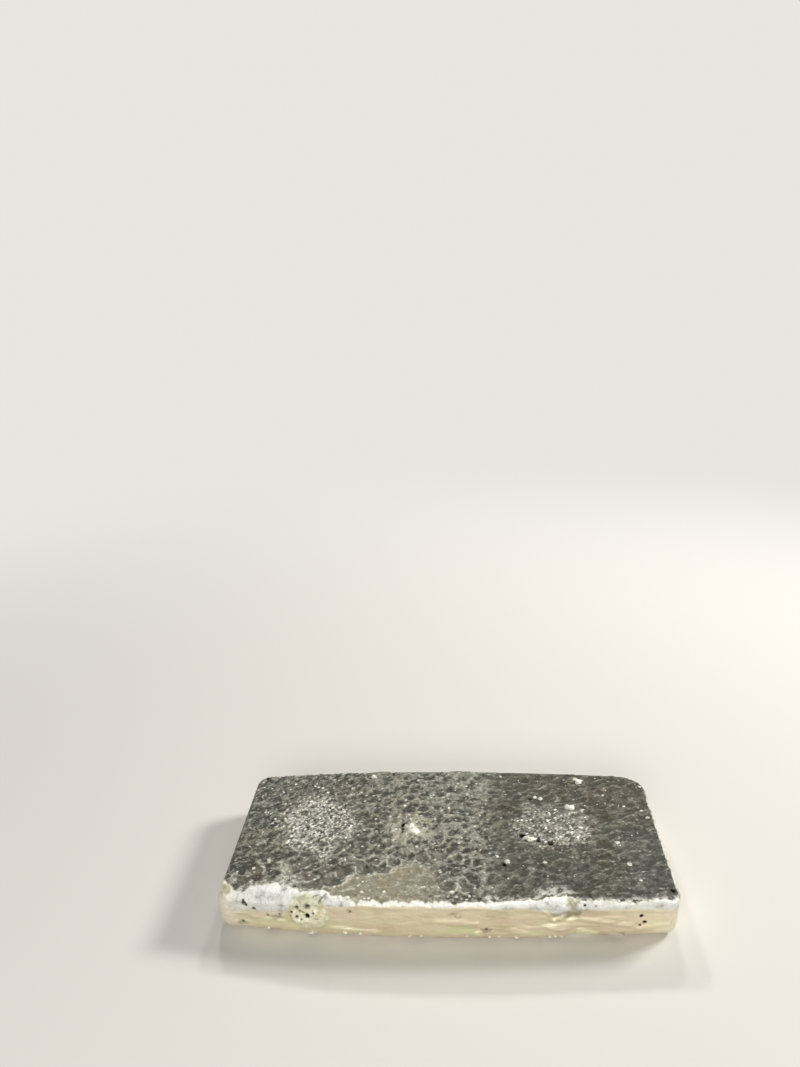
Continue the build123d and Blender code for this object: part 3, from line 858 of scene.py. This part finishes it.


# Hue of the crust's grounds and of what drifts over them, with a painted sheen where the face glints
def crustHue(tree, place, speck):
    tones = bar["tones"]
    streak = readMark(tree, "streak")
    hue = ramp(tree, grain(tree, place, 42, 4, 0.6), tones["crustHue"])
    sway = remap(tree, grain(tree, stretched(tree, place, (0.5, 1, 1)), 70, 4, 0.6), 0.3, 0.7, -0.35, 0.35)
    streaky = ramp(tree, combine(tree, "ADD", readMark(tree, "tint"), sway), tones["streaky"])
    hue = mixTones(tree, times(tree, streak, 0.92), hue, streaky)
    hue = mixTones(tree, times(tree, readMark(tree, "olive"), 0.7), hue, tones["olive"])
    patchTone = ramp(tree, grain(tree, place, 150, 5, 0.65), tones["patch"])
    hue = mixTones(tree, times(tree, readMark(tree, "smoothPatch"), 0.9), hue, patchTone)
    hue = mixTones(tree, times(tree, readMark(tree, "cup"), 0.75), hue, tones["cup"])
    # painted sheen where the face glints
    sheen = times(tree, readMark(tree, "glint"), remap(tree, speck, 0.40, 0.60, 0.32, 0.85))
    sheen = times(tree, sheen, mixValues(tree, streak, 1.0, 0.55))
    hue = mixTones(tree, sheen, hue, tones["glint"])
    drift = readMark(tree, "drift")
    hue = mixTones(tree, remap(tree, drift, 0.0, 1.0, 0.0, 0.8), hue, tones["haze"])
    return mixTones(tree, remap(tree, drift, 0.0, -1.0, 0.0, 0.9), hue, tones["brown"])


# Dark crust: painted shade in its hollows, speckled and cloudy, then painted highlight on its ridges,
# painted shade in its furrows, painted glint points, pale flecks, painted highlight on its lips and frost
def crustFinish(tree, place, speck, calm, ridges, bare):
    tones = bar["tones"]
    streak = readMark(tree, "streak")
    hollow = readMark(tree, "hollow")
    # painted shade in the hollows of the relief
    hollowShade = remap(tree, hollow, 0.05, bar["levelMark"], 0.14, 1.12)
    hollowShade = mixValues(tree, streak, hollowShade, remap(tree, hollow, 0.05, bar["levelMark"], 0.30, 1.0))
    speckle = remap(tree, speck, 0.36, 0.64, 0.15, 1.7)
    clouds = remap(tree, grain(tree, place, 36, 3, 0.6), 0.35, 0.65, 0.78, 1.15)
    lightness = times(tree, times(tree, hollowShade, speckle), clouds)
    lightness = mixValues(tree, times(tree, calm, 0.75), lightness, 0.85)
    crust = mixTones(tree, lightness, tones["crustDark"], crustHue(tree, place, speck))

    # painted highlight on the ridge tops and painted shade in the furrows between them
    ridgeShare = times(tree, bare, mixValues(tree, streak, 1.0, 0.45))
    ridgeHighlight = times(tree, remap(tree, ridges, 0.54, 0.66, 0.0, 0.45), ridgeShare)
    crust = mixTones(tree, ridgeHighlight, crust, tones["ridgeHighlight"])
    furrowShade = times(tree, remap(tree, ridges, 0.46, 0.34, 0.0, 0.8), ridgeShare)
    crust = mixTones(tree, furrowShade, crust, tones["crustDark"])

    # painted highlight points where the face glints
    point = specks(tree, stretched(tree, place, (0.55, 1, 1), 34), 860, 0.05)
    point = times(tree, point, remap(tree, grain(tree, place, 260, 3, 0.6), 0.42, 0.56, 0.3, 1.2))
    crust = mixTones(tree, times(tree, readMark(tree, "glint"), point), crust, tones["glintPoint"])
    fleck = specks(tree, stretched(tree, place, (0.7, 1, 1), 20), 780, 0.86)
    fleck = times(tree, fleck, mixValues(tree, streak, 1.0, 0.4))
    crust = mixTones(tree, fleck, crust, tones["fleck"])
    # painted highlight on the lit side of cup and cell lips and along the patch's edge, with the pale edges
    # listed for the lump and the right end
    lip = times(tree, readMark(tree, "lip"), remap(tree, speck, 0.36, 0.54, 0.2, 1.0))
    crust = mixTones(tree, lip, crust, tones["crustPale"])
    frosting = remap(tree, grain(tree, place, 380, 5, 0.7), 0.43, 0.55)
    return mixTones(tree, times(tree, readMark(tree, "frost"), frosting), crust, tones["frost"])


# The values of a finish, each laid over the ones before by its mark
def layered(tree, start, layers):
    value = start
    for mark, over in layers:
        value = mixValues(tree, mark, value, over)
    return value


def barFinish():
    paint, tree, shader = newPaint("dore_finish")
    tones, metal, roughness = bar["tones"], bar["metal"], bar["roughness"]
    place = addNode(tree, "ShaderNodeTexCoord").outputs["Object"]
    crust = readMark(tree, "crust")
    rim = readMark(tree, "rimWearAndHighlight")
    lump = readMark(tree, "lumpCrust")
    pitShade = readMark(tree, "pitShade")
    patch = readMark(tree, "smoothPatch")
    parts = addNode(tree, "ShaderNodeSeparateXYZ")
    tree.links.new(place, parts.inputs["Vector"])
    leftEnd = remap(tree, parts.outputs["X"], *bar["dullLeft"], 0.0, 0.8)
    rightEnd = remap(tree, parts.outputs["X"], *bar["dullRight"], 0.0, 0.7)
    end = combine(tree, "MAXIMUM", leftEnd, rightEnd)
    speck = grain(tree, place, 560, 5, 0.7)
    calm = combine(tree, "MAXIMUM", patch, readMark(tree, "cup"))
    bare = combine(tree, "SUBTRACT", 1.0, times(tree, calm, 0.8))
    ridges = crustRidges(tree, place)

    # wall and crust, then the rim, the lump and the pits over them
    crustTone = crustFinish(tree, place, speck, calm, ridges, bare)
    tone = mixTones(tree, crust, wallFinish(tree, place, end), crustTone)
    # rim: worn white metal and a painted highlight on its rounding, with a painted highlight line along its
    # top edge
    rimTone = ramp(tree, grain(tree, place, 170, 5, 0.65), tones["rim"])
    rimTone = mixTones(tree, times(tree, readMark(tree, "rimHighlight"), 0.95), rimTone, tones["rimHighlight"])
    tone = mixTones(tree, times(tree, rim, 0.92), tone, rimTone)
    stained = times(tree, readMark(tree, "rimStain"), remap(tree, speck, 0.38, 0.52, 0.55, 1.0))
    tone = mixTones(tree, stained, tone, tones["rimStain"])
    lumpTone = ramp(tree, grain(tree, place, 330, 4, 0.65), tones["lump"])
    tone = mixTones(tree, times(tree, lump, 0.85), tone, lumpTone)
    lumpEdge = times(tree, lump, combine(tree, "SUBTRACT", 1.0, lump))
    tone = mixTones(tree, times(tree, lumpEdge, 0.9), tone, tones["lumpEdge"])
    # near black painted shade in the pits and cracks
    tone = mixTones(tree, pitShade, tone, tones["pitShade"])
    tree.links.new(tone, shader.inputs["Base Color"])

    wallMetal = mixValues(tree, end, metal["wall"], metal["wallEnd"])
    layers = [(crust, metal["crust"]), (rim, metal["rim"]), (lump, metal["lump"]), (pitShade, metal["pitShade"])]
    tree.links.new(layered(tree, wallMetal, layers), shader.inputs["Metallic"])
    shine = layered(tree, 0.5, [(crust, 0.2), (pitShade, 0.0)])
    tree.links.new(shine, shader.inputs["Specular IOR Level"])
    wallRough = mixValues(tree, end, roughness["wall"], roughness["wallEnd"])
    layers = [(crust, roughness["crust"]), (readMark(tree, "streak"), roughness["streak"]),
              (readMark(tree, "glint"), roughness["glint"]), (patch, roughness["patch"]),
              (rim, roughness["rim"]), (lump, roughness["lump"]), (pitShade, roughness["pitShade"])]
    tree.links.new(layered(tree, wallRough, layers), shader.inputs["Roughness"])

    # ridges on the crust and soft wrinkles on the wall, then fine grain over both
    wrinkles = grain(tree, stretched(tree, place, (0.6, 1, 1.6)), 330)
    strength = mixValues(tree, crust, mixValues(tree, end, 0.35, 0.7), times(tree, 0.95, bare))
    wide = addBump(tree, mixValues(tree, crust, wrinkles, ridges), 0.0014, strength)
    strength = mixValues(tree, combine(tree, "MAXIMUM", crust, rim), 0.10, 0.9)
    fine = addBump(tree, grain(tree, place, 820, 4, 0.6), 0.0008, strength, wide)
    tree.links.new(fine, shader.inputs["Normal"])
    return paint


# Crumbs of pale slag stuck to the casting, in millimetres

crumbs = {
    # on the poured face: place along, place across, length, width, height over the face
    "face": [(-15.4, 1.9, 12.5, 13.5, 0.75), (40.0, -5.0, 6.0, 5.0, 0.62), (62.6, 19, 5.4, 8, 0.5),
             (68.6, 40.4, 8, 8, 0.4), (-38, 41.5, 5, 5, 0.3), (45.4, 25.6, 2, 1.6, 0.4),
             (48, 24.6, 2, 1.8, 0.4), (81, -6.8, 2.4, 2, 0.5), (-77, 8.2, 3, 2, 0.5),
             (29, -21.4, 2.4, 2.2, 0.5), (24.4, -17.8, 1.8, 1.4, 0.4), (-69, 34.6, 1.6, 1.2, 0.4),
             (-47, 46, 1.4, 1.2, 0.3), (29, 42.6, 1.6, 1.2, 0.3), (11, 27, 1.6, 1.2, 0.3),
             (1, 26, 1.2, 1.2, 0.3), (-6, 27, 1.4, 1, 0.3), (21, 8, 1.4, 1, 0.3),
             (68, 16, 2, 1.4, 0.4), (97, 16.6, 1.8, 1.4, 0.4), (99, 12, 1.6, 2, 0.4),
             (100, 35.6, 1.4, 1.4, 0.3), (46, -21, 1.8, 1.4, 0.3), (80, 28, 1.4, 1, 0.3),
             (89, 20, 1.6, 1.2, 0.3), (84, -20.8, 2.4, 1.6, 0.4), (87, -31, 1.4, 1.2, 0.3),
             (-91, 13, 1.4, 1, 0.3), (-82, 20, 1.6, 1.2, 0.3), (-46, -21, 1.4, 1.2, 0.4),
             (-82, -21, 1.6, 1.4, 0.4), (-88, -26, 1.6, 1.4, 0.4), (-36, -41, 1.4, 1.4, 0.3),
             (-26, -41, 2, 1.6, 0.4), (-42.2, -44.6, 3, 2.4, 0.4), (-45.5, -44, 2, 1.6, 0.4)],
    # along the foot of the front wall: place along, size
    "foot": [(-79, 1.5), (-59, 2.9), (-44, 1.7), (-37, 1.3), (-15, 1.3), (-10, 1.1), (20, 1.4),
             (31.5, 1.5), (46, 1.3), (48.5, 1.2), (51, 1.0), (24, 0.9), (10, 0.9)],
    "footLevel": (1.6, 3.2),
    # fine grains strewn over the face
    "strewn": 80,
    "strewnAlong": (-99, 100),
    "strewnAcross": (-40, 44),
    "strewnSize": (0.45, 0.95),
    "seed": 11,
    # where rays start: this high above the face, and this far in front of the wall
    "above": 50.0,
    "before": -80.0,
    "highest": 22.45,
    "tones": [(0.35, (0.44, 0.42, 0.33)), (0.5, (0.72, 0.71, 0.61)), (0.65, (0.86, 0.85, 0.77))],
}


# Point that a ray meets on a piece, its start in millimetres
def rayHit(thing, start, way):
    return thing.ray_cast(Vector([value * mm for value in start]), Vector(way))[1]


def makeCrumbs():
    dice = random.Random(crumbs["seed"])
    casting = bpy.data.objects["dore_casting"]
    made = []
    for x, y, length, width, rise in crumbs["face"]:
        place = rayHit(casting, (x, y, crumbs["above"]), (0, 0, -1))
        tall = max(0.5 * min(length, width), 0.8)
        centre = place + Vector((0, 0, (rise - 0.5 * tall) * mm))
        made.append(addCrumb(dice, centre, (length * mm, width * mm, tall * mm)))
    for count in range(crumbs["strewn"]):
        x = dice.uniform(*crumbs["strewnAlong"])
        y = dice.uniform(*crumbs["strewnAcross"])
        size = dice.uniform(*crumbs["strewnSize"]) * mm
        place = rayHit(casting, (x, y, crumbs["above"]), (0, 0, -1))
        made.append(addCrumb(dice, place, (size * 1.2, size, size * 0.8), 1))
    for x, size in crumbs["foot"]:
        level = dice.uniform(*crumbs["footLevel"])
        place = rayHit(casting, (x, crumbs["before"], level), (0, 1, 0))
        made.append(addCrumb(dice, place, (1.2 * size * mm, 0.8 * size * mm, 0.9 * size * mm)))
    clearSelection()
    for thing in made:
        thing.select_set(True)
    bpy.context.view_layer.objects.active = made[0]
    bpy.ops.object.join()
    whole = bpy.context.object
    whole.name = "slag_crumbs"
    bpy.ops.object.transform_apply(location=True, rotation=True, scale=True)
    for vertex in whole.data.vertices:
        vertex.co.z = min(vertex.co.z, crumbs["highest"] * mm)
    bpy.ops.object.shade_smooth()
    whole.data.materials.clear()
    whole.data.materials.append(crumbFinish())
    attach(whole, "root")
    print("crumbs", len(made))


# One lumpy crumb. The plainest, of fineness 1, are less lumpy.
def addCrumb(dice, centre, size, fineness=3):
    clearSelection()
    bpy.ops.mesh.primitive_ico_sphere_add(subdivisions=fineness, radius=0.5, location=(0, 0, 0))
    lumpy = bpy.context.object
    seed = dice.uniform(0, 90)
    lumpiness = 0.6 if fineness > 1 else 0.25
    for vertex in lumpy.data.vertices:
        shape = noise.noise(vertex.co * 2.4 + Vector((seed, 0, 0)))
        shape += 0.5 * noise.noise(vertex.co * 5.5 + Vector((seed, 9, 0)))
        vertex.co *= 1 + lumpiness * shape
        vertex.co *= Vector(size)
    lumpy.rotation_euler = (0, 0, dice.uniform(-0.5, 0.5))
    lumpy.location = centre
    return lumpy


def crumbFinish():
    paint, tree, shader = newPaint("slag_finish")
    place = addNode(tree, "ShaderNodeTexCoord").outputs["Object"]
    tree.links.new(ramp(tree, grain(tree, place, 420), crumbs["tones"]), shader.inputs["Base Color"])
    shader.inputs["Roughness"].default_value = 0.5
    bump = addBump(tree, grain(tree, place, 1300), 0.0003, 0.8)
    tree.links.new(bump, shader.inputs["Normal"])
    return paint


makeCamera()
makeFloor()
makeLight()
print("studio done")
makeBar()
makeCrumbs()
